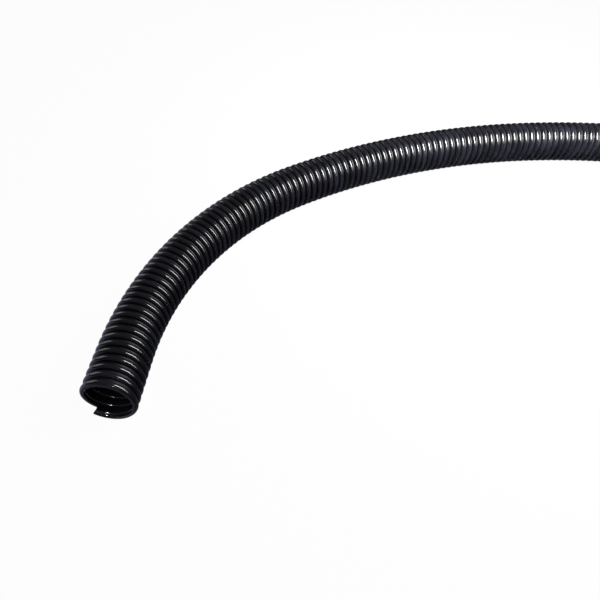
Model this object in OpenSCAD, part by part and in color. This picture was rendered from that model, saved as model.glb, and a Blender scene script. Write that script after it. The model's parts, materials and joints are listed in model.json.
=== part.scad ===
// Corrugated conduit: one cut length of thin-walled, ribbed plastic tube, lying
// on the floor with a short straight lead, two bends and a straight tail.
// The near mouth's axis is the Y axis and all of the tube's axis is at Z = 0.

/* [Tube] */
// Outside diameter over the ribs
od = 34.5; // [20:0.1:60]
// Bore, inside diameter under the necks between ribs
bore = 29; // [12:0.1:54]
// Thickness of the moulded wall
wall = 0.8; // [0.5:0.05:1.2]

/* [Ribs] */
// Distance from one rib to the next
pitch = 5.6; // [4.8:0.1:9]
// Width of a rib over its flanks
rib_width = 3.7; // [2.6:0.1:4.4]
// Height and width of the chamfer at a rib's shoulders
shoulder = 0.5; // [0.1:0.05:0.6]

/* [Length and bends] */
// Cut length along the axis
length = 1000; // [600:1:2000]
// Straight lead from the near mouth to the first bend
lead = 36; // [20:1:200]
// Radius of the tighter first bend at the tube's axis
bend_radius = 227; // [150:1:600]
// Angle the first bend turns through
bend_angle = 53; // [10:1:60]
// Radius of the slacker second bend that follows
sweep_radius = 466; // [200:1:900]
// Angle the second bend turns through
sweep_angle = 37; // [10:1:40]

/* [Part shown] */

/* [Hidden] */
$fn = 64;
r_crest = od / 2;
r_bore = bore / 2;
r_neck = r_bore + wall;
// A rib's foot, where the neck of the link before it is let in
r_foot = r_bore + wall / 2;
// The nominal pitch is eased so that both cut faces fall on a rib's flank
waves = round((length - rib_width) / pitch);
step = (length - rib_width) / waves;
// The tube is a chain of straight links, of one rib in the tight bend and of
// two in the slack one, and each stretch is a whole number of links
bend_link = 1;
sweep_link = 2;
lead_waves = max(1, round(lead / step));
bend_waves = bend_link * max(1, round(bend_radius * bend_angle * PI / 180 / step / bend_link));
sweep_waves = sweep_link * max(1, round(sweep_radius * sweep_angle * PI / 180 / step / sweep_link));
tail_waves = max(1, waves - lead_waves - bend_waves - sweep_waves);
// A neck reaches this far into the next link's flank, enough on the outside of a bend
let_in = 0.12 + r_neck * sin(max(bend_angle * bend_link / bend_waves, sweep_angle * sweep_link / sweep_waves));

// Profile of n ribs, each with a neck after it, as [radius, distance along the axis]:
// a cut length starts with its wall run down to the bore, and may end on one rib more
function profile(n, cut_start, cut_end) = let (last = cut_end ? n : n - 1) concat(
    [for (i = [0 : last]) each [
        [i > 0 ? r_neck : cut_start ? r_bore : r_foot, i * step],
        [r_crest - shoulder, i * step],
        [r_crest, i * step + shoulder],
        [r_crest, i * step + rib_width - shoulder],
        [r_crest - shoulder, i * step + rib_width],
        [i == n ? r_bore : r_neck, i * step + rib_width]
    ]],
    cut_end ? [] : [[r_neck, n * step + let_in], [r_bore, n * step + let_in]],
    [for (i = [last : -1 : 0]) each [
        [r_bore, i * step + rib_width - wall],
        [r_crest - wall, i * step + rib_width - wall],
        [r_crest - wall, i * step + wall],
        [i > 0 || cut_start ? r_bore : r_foot, i * step + wall]
    ]]
);

// A straight length of n ribs and necks, turned about the tube's axis
module straight(n, cut_start = false, cut_end = false)
    rotate([90, 0, 0]) mirror([0, 0, 1]) rotate_extrude()
        polygon(profile(n, cut_start, cut_end));

// Carry children round a centre on the right, by angle a of a bend of n waves through angle total
module round_bend(n, total, a) {
    r = n * step / (total * PI / 180);
    translate([r, 0, 0]) rotate([0, 0, -a]) translate([-r, 0, 0]) children();
}

// A bend of n waves through an angle, in links of w waves, joined in short blocks
module bend(n, angle, w) {
    links = n / w;
    blocks = ceil(links / 8);
    each_link = angle / links;
    for (b = [0 : blocks - 1]) {
        from = floor(b * links / blocks);
        to = floor((b + 1) * links / blocks);
        mid = (from + to) / 2;
        round_bend(n, angle, mid * each_link)
            for (k = [from : to - 1])
                round_bend(n, angle, (k + 0.5 - mid) * each_link)
                    translate([0, -w * step / 2, 0]) straight(w);
    }
}

// The whole tube, stretch by stretch
module conduit() color([0.03, 0.03, 0.035]) {
    straight(lead_waves, cut_start = true);
    translate([0, lead_waves * step, 0]) {
        bend(bend_waves, bend_angle, bend_link);
        round_bend(bend_waves, bend_angle, bend_angle) {
            bend(sweep_waves, sweep_angle, sweep_link);
            round_bend(sweep_waves, sweep_angle, sweep_angle)
                straight(tail_waves, cut_end = true);
        }
    }
}

conduit();
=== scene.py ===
import json
import logging
import math
from dataclasses import dataclass, field
from enum import Enum
from typing import Any

import bpy
import numpy as np
from mathutils import Matrix, Vector


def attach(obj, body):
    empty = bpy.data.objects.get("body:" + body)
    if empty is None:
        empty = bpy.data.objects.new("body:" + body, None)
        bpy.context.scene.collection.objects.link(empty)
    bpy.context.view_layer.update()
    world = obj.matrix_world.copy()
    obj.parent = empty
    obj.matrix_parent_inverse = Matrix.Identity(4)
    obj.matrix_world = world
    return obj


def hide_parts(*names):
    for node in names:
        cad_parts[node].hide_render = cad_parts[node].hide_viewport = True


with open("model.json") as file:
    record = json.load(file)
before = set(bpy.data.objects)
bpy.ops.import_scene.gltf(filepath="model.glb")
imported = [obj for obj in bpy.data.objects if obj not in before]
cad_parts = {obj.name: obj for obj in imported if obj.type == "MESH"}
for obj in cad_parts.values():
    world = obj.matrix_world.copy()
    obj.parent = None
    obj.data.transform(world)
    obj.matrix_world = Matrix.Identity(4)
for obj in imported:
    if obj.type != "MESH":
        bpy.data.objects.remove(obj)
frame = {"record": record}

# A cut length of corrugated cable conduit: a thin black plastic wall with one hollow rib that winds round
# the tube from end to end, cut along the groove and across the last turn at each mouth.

LOG = logging.getLogger("conduit")
TAU = 2.0 * math.pi
MM_PER_M = 1000

# a share of a wave too small to see, and the room left under the lowest crest in metres
HAIR = 1e-9
FLOOR_GAP = 0.00005

Triple = tuple[float, float, float]
Range = tuple[float, float]


# ---------------------------------------------------------------- the tube's shape

class Side(Enum):
    """The two faces of the wall."""

    OUTER = "outer"
    INNER = "inner"


@dataclass(frozen=True)
class RibProfile:
    """One wave of the wall, from a rib's front foot (phase 0) to the next rib's (phase 1), in metres."""

    crest: float
    bore: float = 0.0145
    wall: float = 0.0008
    rib: float = 0.0037
    step: float = 0.0056
    crown: float = 2.4
    flank: float = 2.1
    dip: float = 0.00012
    rib_points: int = 11
    neck_points: int = 3

    @property
    def rows(self) -> int:
        """Rows of vertices over one wave."""
        return self.rib_points + self.neck_points

    @property
    def rear_foot(self) -> float:
        """Phase of a rib's rear foot."""
        return self.rib / self.step

    def phases(self, side: Side) -> np.ndarray:
        """Phases of the rows of one wave.

        Rows on the rib lie at even turns u of the superellipse, x = -a cos(u) to the power 2 over the crown.
        The inner groove is narrower by a wall each way, and its first and last rows stay at the rib's feet,
        so that both faces of the wall can be joined row by row.

        Args:
            side: the face of the wall.

        Returns:
            Rising phases, one for each row.
        """
        half = self.rib / 2
        if side is Side.OUTER:
            turn = np.linspace(0.0, math.pi, self.rib_points)
            x = -half * np.sign(np.cos(turn)) * np.abs(np.cos(turn)) ** (2 / self.crown)
        else:
            turn = np.linspace(0.0, math.pi, self.rib_points - 2)
            groove = half - self.wall
            inner = -groove * np.sign(np.cos(turn)) * np.abs(np.cos(turn)) ** (2 / self.crown)
            x = np.concatenate([[-half], inner, [half]])
        neck = np.linspace(self.rear_foot, 1.0, self.neck_points + 2)[1:-1]
        return np.concatenate([(x + half) / self.step, neck])

    def radius(self, side: Side, phase: np.ndarray) -> np.ndarray:
        """Radius of one face of the wall.

        A rib is a superellipse of x/a and height/H that stands on the neck, and between ribs the neck is a
        shallow parabola that rises by the dip to the feet. The groove inside follows the rib a wall deeper.

        Args:
            side: the face of the wall.
            phase: distance along the axis from a rib's front foot, in waves.

        Returns:
            Radii, of the phase's shape.
        """
        at = np.mod(phase, 1.0) * self.step
        middle = self.rib / 2
        half = middle
        if side is Side.INNER:
            half, low, high = middle - self.wall, self.bore, self.crest - self.wall
        else:
            low, high = self.bore + self.wall, self.crest
        x = np.clip(np.abs(at - middle) / half, 0.0, 1.0)
        rise = (1.0 - x ** self.crown) ** (1.0 / self.flank)
        if side is Side.INNER:
            return low + (high - low) * rise
        gap = self.step - self.rib
        across = np.clip((at - self.rib) / gap, 0.0, 1.0)
        neck = low - self.dip + self.dip * (2.0 * across - 1.0) ** 2
        return np.where(at < self.rib, low + (high - low) * rise, neck)


@dataclass(frozen=True)
class TubePath:
    """The tube's axis at Z = 0: a straight lead, a tight bend, a slack bend and a straight tail."""

    step: float
    length: float = 1.0
    lead_waves: int = 6
    bend_waves: int = 38
    bend_angle: float = math.radians(53.0)
    sweep_waves: int = 54
    sweep_angle: float = math.radians(37.0)

    def frames(self, s: np.ndarray) -> tuple[np.ndarray, np.ndarray]:
        """Centre and rightward side of the tube at distances along its axis.

        The heading turns by arc length over radius within each bend. A stretch starts where the one before
        it ends, so the place is a sum of one straight, two arcs and one straight, each held to its share.

        Args:
            s: distances from the near mouth.

        Returns:
            Two arrays, of the shape of s with a last dimension of 3.
        """
        lead = self.lead_waves * self.step
        bend, sweep = self.bend_waves * self.step, self.sweep_waves * self.step
        r1, r2 = bend / self.bend_angle, sweep / self.sweep_angle
        a = np.clip((s - lead) / r1, 0.0, self.bend_angle)
        b = self.bend_angle + np.clip((s - lead - bend) / r2, 0.0, self.sweep_angle)
        tail = np.maximum(s - lead - bend - sweep, 0.0)
        end = self.bend_angle + self.sweep_angle
        x = r1 * (1.0 - np.cos(a)) + r2 * (math.cos(self.bend_angle) - np.cos(b)) + tail * math.sin(end)
        y = np.minimum(s, lead) + r1 * np.sin(a) + r2 * (np.sin(b) - math.sin(self.bend_angle))
        y = y + tail * math.cos(end)
        heading = a + b - self.bend_angle
        flat = np.zeros_like(s)
        return np.stack([x, y, flat], -1), np.stack([np.cos(heading), -np.sin(heading), flat], -1)


@dataclass
class WoundWall:
    """The wall as one grid that winds with the rib: a row keeps its phase, and ends one wave further on.

    The rib's front foot leaves the near mouth at the start angle. The near cut follows it for groove_turn of
    a turn and then runs straight across, and the far cut runs straight across first and then follows the
    groove for as much of a turn.
    """

    profile: RibProfile
    path: TubePath
    waves: int
    columns: int
    start: float = math.radians(-30.0)
    groove_turn: float = 0.71

    def rows(self, side: Side) -> np.ndarray:
        """Phase of every row, from a wave before the near groove to a wave past the far one.

        Args:
            side: the face of the wall.

        Returns:
            Rising phases, in waves from the near mouth.
        """
        one = self.profile.phases(side)
        last = (self.waves - 1) * self.profile.rows + self.profile.rib_points
        count = last + 2 * self.profile.rows
        index = np.arange(count) - self.profile.rows
        return np.floor_divide(index, len(one)) + one[np.mod(index, len(one))]

    def places(self, side: Side) -> tuple[np.ndarray, np.ndarray, np.ndarray]:
        """Vertices of one face of the wall.

        A vertex at phase p and turn w lies at (p + w) waves along the axis. In the part turn that is left of
        the first wave, the rows in front of mid-wave are squeezed so that the foremost lies at 0, which cuts
        that turn straight across. The last wave is cut at the length in the same way.

        Args:
            side: the face of the wall.

        Returns:
            Places in metres, the same points on the tube laid out straight, as (x, z, distance), and their
            height, from 0 on the neck to 1 on a rib's crest.
        """
        phase = self.rows(side)[:, None]
        end = self.waves - 1 + self.profile.rear_foot
        turn = (np.arange(self.columns) / self.columns)[None, :]
        front = np.where(phase < 0, (1 - turn) * np.maximum(0.0, 1 - 2 * (phase + 1)), 0.0)
        back = np.where(phase > end + HAIR, turn * np.maximum(0.0, 2 * (phase - end) - 1), 0.0)
        phase = phase + front - back
        s = np.clip((phase + turn) * self.profile.step, 0.0, self.path.length)
        radius = self.profile.radius(side, phase)
        angle = np.broadcast_to(self.start + TAU * turn, s.shape)
        centre, rightward = self.path.frames(s)
        up = np.array([0.0, 0.0, 1.0])
        across, above = radius * np.cos(angle), radius * np.sin(angle)
        place = centre + across[..., None] * rightward + above[..., None] * up
        low, high = self.profile.bore, self.profile.crest - self.profile.wall
        thick = self.profile.wall if side is Side.OUTER else 0.0
        height = np.clip((radius - thick - low) / (high - low), 0.0, 1.0)
        return place, np.stack([across, above, s], -1), height

    def quads(self) -> tuple[np.ndarray, np.ndarray, np.ndarray]:
        """Faces of the grid, with the rows before and past the grooves only over the turns that stay.

        Returns:
            Vertex numbers of each face, facing outwards, its (row, column), and the wave that it is in.
        """
        per, cols = self.profile.rows, self.columns
        phase = self.rows(Side.OUTER)
        i, j = np.meshgrid(np.arange(len(phase) - 1), np.arange(cols), indexing="ij")
        next_row, next_col = i + (j == cols - 1) * per, (j + 1) % cols
        stay = int(round(self.groove_turn * cols))
        front, back = i < per, i + 1 > len(phase) - 1 - per
        keep = (~front | (j >= stay)) & (~back | (j < cols - stay)) & (next_row + 1 < len(phase))
        here, there = i * cols + j, next_row * cols + next_col
        faces = np.stack([here, here + cols, there + cols, there], -1)
        return faces[keep], np.stack([i[keep], j[keep]], -1), (i[keep] - per) // per


def border(faces: np.ndarray) -> np.ndarray:
    """Directed edges that only one face of a set uses.

    Args:
        faces: vertex numbers of four-sided faces.

    Returns:
        Pairs of vertex numbers, in the order of the face they bound.
    """
    edges = np.stack([faces, np.roll(faces, -1, axis=1)], -1).reshape(-1, 2)
    key = np.sort(edges, axis=1)
    _, first, count = np.unique(key, axis=0, return_index=True, return_counts=True)
    return edges[first[count == 1]]


# ---------------------------------------------------------------- shader maths

class Sock:
    """A shader socket that can be used in Python sums."""

    def __init__(self, graph: "Graph", socket: Any) -> None:
        """Wraps a socket of a graph."""
        self.graph, self.socket = graph, socket

    def _math(self, operation: str, first: Any, second: Any) -> "Sock":
        """Adds one Math node on two values, each a Sock or a number."""
        return self.graph.node("ShaderNodeMath", {"operation": operation}, {0: first, 1: second})

    def __add__(self, other: Any) -> "Sock":
        """Sum."""
        return self._math("ADD", self, other)

    __radd__ = __add__

    def __mul__(self, other: Any) -> "Sock":
        """Product."""
        return self._math("MULTIPLY", self, other)

    __rmul__ = __mul__

    def __sub__(self, other: Any) -> "Sock":
        """Difference."""
        return self._math("SUBTRACT", self, other)

    def __rsub__(self, other: Any) -> "Sock":
        """Difference, the other way round."""
        return self._math("SUBTRACT", other, self)

    def step_up(self, low: float, high: float) -> "Sock":
        """Smooth step.

        Args:
            low: the value at which it leaves 0.
            high: the value at which it reaches 1.

        Returns:
            A socket from 0 to 1.
        """
        return self.graph.node(
            "ShaderNodeMapRange", {"interpolation_type": "SMOOTHSTEP"},
            {"Value": self, "From Min": low, "From Max": high},
        )


@dataclass
class Graph:
    """A material's or a world's nodes."""

    tree: Any

    def node(self, kind: str, settings: dict[str, Any] | None = None,
             values: dict[Any, Any] | None = None, output: Any = 0) -> Sock:
        """Adds a node.

        Args:
            kind: the node's type.
            settings: attributes of the node, set first.
            values: a value or a Sock for each input, by name or number.
            output: the output that is handed back.

        Returns:
            The chosen output.
        """
        made = self.tree.nodes.new(kind)
        for name, value in (settings or {}).items():
            setattr(made, name, value)
        for name, value in (values or {}).items():
            if isinstance(value, Sock):
                self.tree.links.new(value.socket, made.inputs[name])
            else:
                made.inputs[name].default_value = value
        return Sock(self, made.outputs[output] if len(made.outputs) else None)


@dataclass(frozen=True)
class GlossPlastic:
    """Black extruded plastic: glossy ribs with flow streaks, dull necks, a few dust specks, sawn cut edges.

    Colours are linear, scales are in cells a metre, and the pairs are the ends of a smooth step.
    """

    name: str = "gloss_black_plastic"
    black: Triple = (0.0035, 0.0035, 0.0050)
    tint: Triple = (0.0085, 0.0090, 0.0135)
    tint_share: float = 0.8
    dust: Triple = (0.20, 0.20, 0.21)
    cut: Triple = (0.035, 0.035, 0.040)
    gloss: float = 0.15
    dull: float = 0.24
    neck: float = 0.5
    sawn: float = 0.45
    skin: float = 0.14
    index: float = 1.3
    skin_index: float = 1.5
    groove_edge: Range = (0.1, 0.8)
    cloud_scale: float = 55.0
    cloud_tint: Range = (0.4, 0.7)
    cloud_dull: Range = (0.35, 0.75)
    drawn_scale: Triple = (45.0, 45.0, 1500.0)
    streak_edge: Range = (0.4, 0.7)
    streak_dull: float = 0.05
    streak_relief: float = 0.6
    grain_scale: float = 2600.0
    grain_relief: float = 0.25
    relief_strength: float = 0.2
    relief_depth: float = 0.000008
    speck_scale: float = 420.0
    speck_edge: Range = (0.05, 0.12)
    speck_pick: Range = (0.72, 0.76)
    speck_dull: float = 0.3
    speck_in_groove: float = 0.5
    speck_on_skin: float = 0.6

    def make(self) -> bpy.types.Material:
        """Builds the material.

        The groove factor is 1 on the necks, and inside is 1 on the bore's face. Roughness is a sum: gloss to
        dull by the clouds, a little for the streaks, more on the outer necks, on dust and on the cut.

        Returns:
            The material, which reads the attributes laid_out, height, inside and cut.
        """
        material = bpy.data.materials.new(self.name)
        material.use_nodes = True
        material.node_tree.nodes.clear()
        graph = Graph(material.node_tree)
        laid = self.attribute(graph, "laid_out", "Vector")
        height = self.attribute(graph, "height", "Fac")
        inside = self.attribute(graph, "inside", "Fac")
        cut = self.attribute(graph, "cut", "Fac")
        groove = 1 - height.step_up(*self.groove_edge)
        cloud = self.noise(graph, laid, self.cloud_scale, 3.0)
        drawn = graph.node("ShaderNodeVectorMath", {"operation": "MULTIPLY"}, {0: laid, 1: self.drawn_scale})
        streak = self.noise(graph, drawn, 1.0, 2.0)
        grain = self.noise(graph, laid, self.grain_scale, 2.0)
        speck = self.specks(graph, laid)
        colour = self.over(graph, cloud.step_up(*self.cloud_tint) * self.tint_share, self.black, self.tint)
        colour = self.over(graph, speck * (1 - self.speck_in_groove * groove), colour, self.dust)
        colour = self.over(graph, cut, colour, self.cut)
        rough = self.gloss + (self.dull - self.gloss) * cloud.step_up(*self.cloud_dull)
        rough = rough + self.streak_dull * streak.step_up(*self.streak_edge)
        rough = rough + (self.neck - self.dull) * groove * (1 - inside) + self.speck_dull * speck
        rough = rough + (self.sawn - self.gloss) * cut
        relief = self.streak_relief * streak + self.grain_relief * grain + cut * grain
        bump = graph.node("ShaderNodeBump", {}, {
            "Strength": self.relief_strength, "Distance": self.relief_depth, "Height": relief,
        })
        skin = (1 - groove * (1 - inside)) * (1 - cut) * (1 - self.speck_on_skin * speck)
        shader = graph.node("ShaderNodeBsdfPrincipled", {}, {
            "Base Color": colour, "Roughness": rough, "Normal": bump, "IOR": self.index,
            "Coat Weight": skin, "Coat Roughness": self.skin, "Coat IOR": self.skin_index,
        })
        graph.node("ShaderNodeOutputMaterial", {}, {"Surface": shader})
        return material

    def attribute(self, graph: Graph, name: str, output: str) -> Sock:
        """Reads an attribute of the surface.

        Args:
            graph: the nodes to add to.
            name: the attribute.
            output: "Fac" for a number or "Vector" for a place.

        Returns:
            The attribute's value.
        """
        return graph.node("ShaderNodeAttribute", {"attribute_name": name}, output=output)

    def noise(self, graph: Graph, at: Sock, scale: float, detail: float) -> Sock:
        """Adds a noise pattern.

        Args:
            graph: the nodes to add to.
            at: where the pattern is read.
            scale: cells a unit.
            detail: octaves.

        Returns:
            The pattern, from 0 to 1 and mostly near a half.
        """
        return graph.node("ShaderNodeTexNoise", {}, {"Vector": at, "Scale": scale, "Detail": detail})

    def specks(self, graph: Graph, laid: Sock) -> Sock:
        """Sparse dust: a round spot at the point of each cell whose random number passes the pick.

        Args:
            graph: the nodes to add to.
            laid: places on the straight tube.

        Returns:
            1 on a speck and 0 off it.
        """
        spots = {"Vector": laid, "Scale": self.speck_scale}
        far = graph.node("ShaderNodeTexVoronoi", {}, spots, output="Distance")
        pick = graph.node("ShaderNodeTexVoronoi", {}, spots, output="Color")
        return (1 - far.step_up(*self.speck_edge)) * pick.step_up(*self.speck_pick)

    def over(self, graph: Graph, factor: Sock, under: Sock | Triple, upper: Triple) -> Sock:
        """Lays a colour over another; 6, 7 and 2 are the Mix node's colour sockets.

        Args:
            graph: the nodes to add to.
            factor: how much of the upper colour is seen.
            under: the colour below.
            upper: the colour on top.

        Returns:
            The mixed colour.
        """
        below = under if isinstance(under, Sock) else (*under, 1.0)
        colours = {0: factor, 6: below, 7: (*upper, 1.0)}
        return graph.node("ShaderNodeMix", {"data_type": "RGBA"}, colours, output=2)


# ---------------------------------------------------------------- the conduit

@dataclass(frozen=True)
class ChartLayout:
    """Where a stretch's charts lie in the unit square.

    Charts keep a margin from the edge. Both walls are as wide and reach to the top, with the inner one second
    to the right. Edge faces fill the band, with a gap at each end of a face in shares of its own width.
    """

    margin: float = 0.005
    width: float = 0.485
    top: float = 0.97
    second: float = 0.505
    band: Range = (0.98, 0.995)
    gap: float = 0.1

    def corners(self, lattice: np.ndarray, columns: int, rims: int) -> np.ndarray:
        """Lays a stretch out flat.

        The outer wall fills the left half and the inner wall the right half, with u along the turn and v
        along the rows, and the edge faces stand side by side in a thin band above them.

        Args:
            lattice: row and turn of each outer face.
            columns: faces in one turn.
            rims: how many edge faces there are.

        Returns:
            (u, v) of every face corner, in the order of the faces.
        """
        row = (lattice[:, :1] - lattice[:, 0].min()) + [[0, 1, 1, 0]]
        turn = lattice[:, 1:] + np.array([[0, 0, 1, 1]]) / columns
        v = self.margin + (self.top - self.margin) * row / row.max()
        outer = np.stack([self.margin + self.width * turn, v], -1)
        inner = (outer + [self.second, 0.0])[:, ::-1]
        near, far = self.gap, 1.0 - self.gap
        edge = (np.arange(rims)[:, None] + [[near, far, far, near]]) / rims
        low, high = self.band
        height = np.broadcast_to([[low, low, high, high]], edge.shape)
        u = self.margin + (1.0 - 2.0 * self.margin) * edge
        return np.concatenate([outer, inner, np.stack([u, height], -1)])


@dataclass
class Conduit:
    """The whole length, built as one wall and shown in a few stretches."""

    crest: float
    length: float = 1.0
    pitch: float = 0.0056
    rib: float = 0.0037
    stretches: int = 4
    columns: int = 56
    layout: ChartLayout = field(default_factory=ChartLayout)
    finish: GlossPlastic = field(default_factory=GlossPlastic)

    def build(self) -> list[bpy.types.Object]:
        """Makes the stretches and dresses them.

        Returns:
            The new objects, from the near mouth on.
        """
        waves = round((self.length - self.rib) / self.pitch)
        step = (self.length - self.rib) / waves
        profile = RibProfile(crest=self.crest, rib=self.rib, step=step)
        wall = WoundWall(profile, TubePath(step, self.length), waves, self.columns)
        sides = [wall.places(side) for side in (Side.OUTER, Side.INNER)]
        places, laid = (np.concatenate([side[k].reshape(-1, 3) for side in sides]) for k in (0, 1))
        height = np.concatenate([side[2].ravel() for side in sides])
        faces, lattice, wave = wall.quads()
        share = np.clip(wave * self.stretches // waves, 0, self.stretches - 1)
        material = self.finish.make()
        made = []
        for number in range(self.stretches):
            mine = share == number
            turns = lattice[mine] / [1, self.columns]
            piece = self.stretch(number, faces[mine], turns, places, laid, height)
            piece.data.materials.append(material)
            made.append(piece)
        return made

    def stretch(self, number: int, faces: np.ndarray, lattice: np.ndarray, places: np.ndarray,
                laid: np.ndarray, height: np.ndarray) -> bpy.types.Object:
        """Makes one closed stretch: both faces of the wall, joined across it at every border.

        Args:
            number: the stretch's place in the row.
            faces: its outer faces.
            lattice: row and turn of each outer face.
            places: all vertices, the outer ones first and as many inner ones after them.
            laid: the same vertices on the straight tube.
            height: their height on the rib.

        Returns:
            The new object.
        """
        inner_from = len(places) // 2
        rim = border(faces)
        across = np.stack([rim[:, 1], rim[:, 0], rim[:, 0] + inner_from, rim[:, 1] + inner_from], -1)
        every = np.concatenate([faces, faces[:, ::-1] + inner_from, across])
        used, flat = np.unique(every, return_inverse=True)
        every = flat.reshape(-1, 4)
        mesh = bpy.data.meshes.new(f"conduit_stretch_{number + 1}")
        mesh.vertices.add(len(used))
        mesh.vertices.foreach_set("co", places[used].astype(np.float32).ravel())
        mesh.loops.add(every.size)
        mesh.loops.foreach_set("vertex_index", every.astype(np.int32).ravel())
        mesh.polygons.add(len(every))
        mesh.polygons.foreach_set("loop_start", np.arange(0, every.size, 4, dtype=np.int32))
        mesh.update(calc_edges=True)
        sharp = np.zeros(len(every), bool)
        sharp[-len(across):] = True
        mesh.attributes.new("sharp_face", "BOOLEAN", "FACE").data.foreach_set("value", sharp)
        where = mesh.attributes.new("laid_out", "FLOAT_VECTOR", "POINT")
        where.data.foreach_set("vector", laid[used].astype(np.float32).ravel())
        values = {"height": height[used], "inside": used >= inner_from}
        for name, value in values.items():
            mesh.attributes.new(name, "FLOAT", "POINT").data.foreach_set("value", value.astype(np.float32))
        cut = mesh.attributes.new("cut", "FLOAT", "CORNER")
        cut.data.foreach_set("value", np.repeat(sharp, 4).astype(np.float32))
        charts = mesh.uv_layers.new(name="OFBake")
        corners = self.layout.corners(lattice, self.columns, len(across))
        charts.uv.foreach_set("vector", corners.astype(np.float32).ravel())
        piece = bpy.data.objects.new(mesh.name, mesh)
        bpy.context.scene.collection.objects.link(piece)
        LOG.info("%s: %d vertices, %d faces", piece.name, len(used), len(every))
        return piece


# ---------------------------------------------------------------- the studio

@dataclass(frozen=True)
class Softbox:
    """A rectangular lamp. A spread below half a turn stands for a grid on its front."""

    name: str
    place: Triple
    target: Triple
    size: Range
    power: float
    spread: float = math.pi

    def light(self) -> bpy.types.Light:
        """Makes the light.

        Returns:
            The light, not yet in the scene.
        """
        light = bpy.data.lights.new(self.name, "AREA")
        light.shape = "RECTANGLE"
        light.size, light.size_y = self.size
        light.spread = self.spread
        light.energy = self.power
        return light


@dataclass(frozen=True)
class Spot:
    """A small lamp with a narrow beam."""

    name: str
    place: Triple
    target: Triple
    power: float
    radius: float = 0.010
    beam: float = math.radians(4.2)
    blend: float = 0.3

    def light(self) -> bpy.types.Light:
        """Makes the light.

        Returns:
            The light, not yet in the scene.
        """
        light = bpy.data.lights.new(self.name, "SPOT")
        light.energy = self.power
        light.shadow_soft_size = self.radius
        light.spot_size = self.beam
        light.spot_blend = self.blend
        return light


@dataclass(frozen=True)
class FloorSheen:
    """How bright the floor looks in the tube's gloss, by X and Y.

    It is brighter on the left of the near mouth, and darker behind the first bend and beside the lead.
    """

    level: float = 0.14
    bright: float = 3.0
    dark: float = 0.4
    left_x: Range = (-0.04, 0.06)
    behind_x: Range = (0.25, 0.4)
    behind_y: Range = (0.22, 0.34)
    beside_x: Range = (0.0, 0.03)
    beside_y: Range = (0.08, 0.3)


@dataclass(frozen=True)
class View:
    """The camera: its place in metres, its angles in degrees and its lens in millimetres."""

    place: Triple = (0.1174, -0.1539, 0.2697)
    turn: float = 3.0548
    down: float = 47.9075
    roll: float = 1.3228
    lens: float = 32.178
    clip: Range = (0.01, 50.0)


LAMPS = (
    Softbox("softbox", (0.35, 0.16, 0.33), (0.14, 0.17, 0.0), (0.10, 0.34), 2.4),
    Softbox("grid_box", (0.40, 0.14, 0.37), (0.32, 0.30, 0.0), (0.13, 0.30), 1.9, math.radians(80.0)),
    Softbox("side_box", (-1.55, 1.15, 0.50), (0.0, 0.05, 0.0), (1.3, 0.9), 3.6),
    Softbox("end_box", (1.35, 0.05, 0.50), (0.40, 0.22, 0.0), (0.30, 0.45), 3.4),
    Spot("mouth_spot", (0.06, -0.38, 0.29), (0.0, 0.008, -0.012), 5.0),
)


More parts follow.
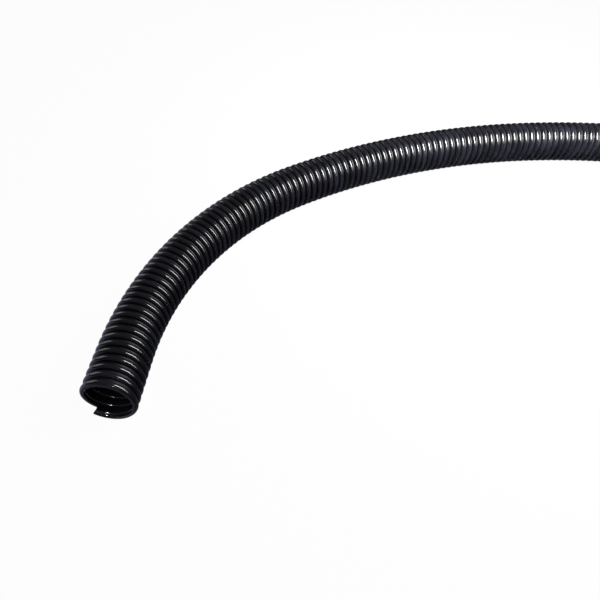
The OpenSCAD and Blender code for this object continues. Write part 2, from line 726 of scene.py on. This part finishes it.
@dataclass
class Studio:
    """Floor, light and camera."""

    floor_z: float
    room: Triple = (0.76, 0.78, 1.0)
    room_level: float = 0.07
    shine: float = 0.04
    paper: Triple = (0.7, 0.7, 0.72)
    paper_white: float = 0.97
    floor_from: float = -3.0
    floor_to: float = 4.0
    sheen: FloorSheen = field(default_factory=FloorSheen)
    view: View = field(default_factory=View)

    def build(self) -> None:
        """Sets up the whole studio."""
        scene = bpy.context.scene
        scene.view_settings.view_transform = "Standard"
        self.world()
        self.floor()
        for lamp in LAMPS:
            self.hang(lamp)
        self.camera()

    def ray(self, graph: Graph, kind: str) -> Sock:
        """Tells one kind of ray from the rest.

        Args:
            graph: the nodes to add to.
            kind: "Camera", "Glossy" or "Transmission".

        Returns:
            1 for rays of that kind, else 0.
        """
        return graph.node("ShaderNodeLightPath", output=f"Is {kind} Ray")

    def glow(self, graph: Graph, kind: str, colour: Triple, level: float) -> Sock:
        """Adds a shader that gives an even light.

        Args:
            graph: the nodes to add to.
            kind: the node's type, a background or an emission.
            colour: the light's colour.
            level: its strength.

        Returns:
            The shader.
        """
        return graph.node(kind, {}, {"Color": (*colour, 1.0), "Strength": level})

    def mix(self, graph: Graph, factor: Sock, first: Sock, second: Sock) -> Sock:
        """Mixes two shaders.

        Args:
            graph: the nodes to add to.
            factor: how much of the second is seen.
            first: the shader at factor 0.
            second: the shader at factor 1.

        Returns:
            The mixed shader.
        """
        return graph.node("ShaderNodeMixShader", {}, {0: factor, 1: first, 2: second})

    def world(self) -> None:
        """A dim room that the camera sees as white."""
        world = bpy.data.worlds.new("studio")
        bpy.context.scene.world = world
        world.use_nodes = True
        world.node_tree.nodes.clear()
        graph = Graph(world.node_tree)
        camera, mirror, through = (self.ray(graph, kind) for kind in ("Camera", "Glossy", "Transmission"))
        room = self.glow(graph, "ShaderNodeBackground", self.room, self.room_level)
        white = self.glow(graph, "ShaderNodeBackground", (1.0, 1.0, 1.0), 1.0)
        mixed = self.mix(graph, camera + self.shine * mirror + through, room, white)
        graph.node("ShaderNodeOutputWorld", {}, {"Surface": mixed})

    def floor(self) -> None:
        """A wide pale floor that the camera sees as nearly white, with the tube's shadow."""
        mesh = bpy.data.meshes.new("floor")
        low, high, z = self.floor_from, self.floor_to, self.floor_z
        mesh.from_pydata([(low, low, z), (high, low, z), (high, high, z), (low, high, z)], [], [(0, 1, 2, 3)])
        floor = bpy.data.objects.new("floor", mesh)
        bpy.context.scene.collection.objects.link(floor)
        material = bpy.data.materials.new("floor")
        material.use_nodes = True
        material.node_tree.nodes.clear()
        graph = Graph(material.node_tree)
        camera, mirror, through = (self.ray(graph, kind) for kind in ("Camera", "Glossy", "Transmission"))
        matte = graph.node("ShaderNodeBsdfDiffuse", {}, {"Color": (*self.paper, 1.0)})
        white = self.glow(graph, "ShaderNodeEmission", (1.0, 1.0, 1.0), 1.0)
        seen = self.mix(graph, self.paper_white * camera + through, matte, white)
        mixed = self.mix(graph, mirror, seen, self.mirrored(graph))
        graph.node("ShaderNodeOutputMaterial", {}, {"Surface": mixed})
        mesh.materials.append(material)

    def mirrored(self, graph: Graph) -> Sock:
        """The floor as the tube's gloss sees it.

        Args:
            graph: the floor's nodes.

        Returns:
            A shader that glows dimly, and is brighter or darker where the sheen says so.
        """
        sheen = self.sheen
        levels = (sheen.level, sheen.level * sheen.bright, sheen.level * sheen.dark)
        dim, bright, dark = (self.glow(graph, "ShaderNodeEmission", self.room, level) for level in levels)
        place = graph.node("ShaderNodeTexCoord", output="Object")
        x, y = (graph.node("ShaderNodeSeparateXYZ", {}, {0: place}, output=axis) for axis in "XY")
        left = 1 - x.step_up(*sheen.left_x)
        behind = y.step_up(*sheen.behind_y) * (1 - x.step_up(*sheen.behind_x))
        beside = x.step_up(*sheen.beside_x) * (1 - y.step_up(*sheen.beside_y))
        return self.mix(graph, behind + beside, self.mix(graph, left, dim, bright), dark)

    def hang(self, lamp: Softbox | Spot) -> None:
        """Hangs a lamp in its place, facing its target and unseen by the camera.

        Args:
            lamp: what to hang.
        """
        hung = bpy.data.objects.new(lamp.name, lamp.light())
        bpy.context.scene.collection.objects.link(hung)
        hung.location = lamp.place
        hung.visible_camera = False
        hung.rotation_euler = (Vector(lamp.place) - Vector(lamp.target)).to_track_quat("Z", "Y").to_euler()

    def camera(self) -> None:
        """The camera, above the near mouth, looking down the length."""
        view = self.view
        lens = bpy.data.cameras.new("camera")
        lens.lens = view.lens
        lens.clip_start, lens.clip_end = view.clip
        camera = bpy.data.objects.new("camera", lens)
        turn = Matrix.Rotation(math.radians(view.turn), 4, "Z")
        tip = Matrix.Rotation(math.radians(90 - view.down), 4, "X")
        roll = Matrix.Rotation(math.radians(view.roll), 4, "Z")
        camera.matrix_world = Matrix.Translation(view.place) @ turn @ tip @ roll
        bpy.context.scene.collection.objects.link(camera)
        bpy.context.scene.camera = camera


def main() -> None:
    """Builds the conduit and the studio around the frame."""
    logging.basicConfig(level=logging.INFO)
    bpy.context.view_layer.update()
    mouth = next(m for m in frame["record"]["mounts"] if m["name"] == "near_mouth")
    crest = mouth["dims"]["r_mm"] / MM_PER_M
    for piece in Conduit(crest).build():
        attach(piece, "root")
        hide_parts("conduit")
    Studio(floor_z=-crest - FLOOR_GAP).build()


if __name__ == "__main__":
    main()
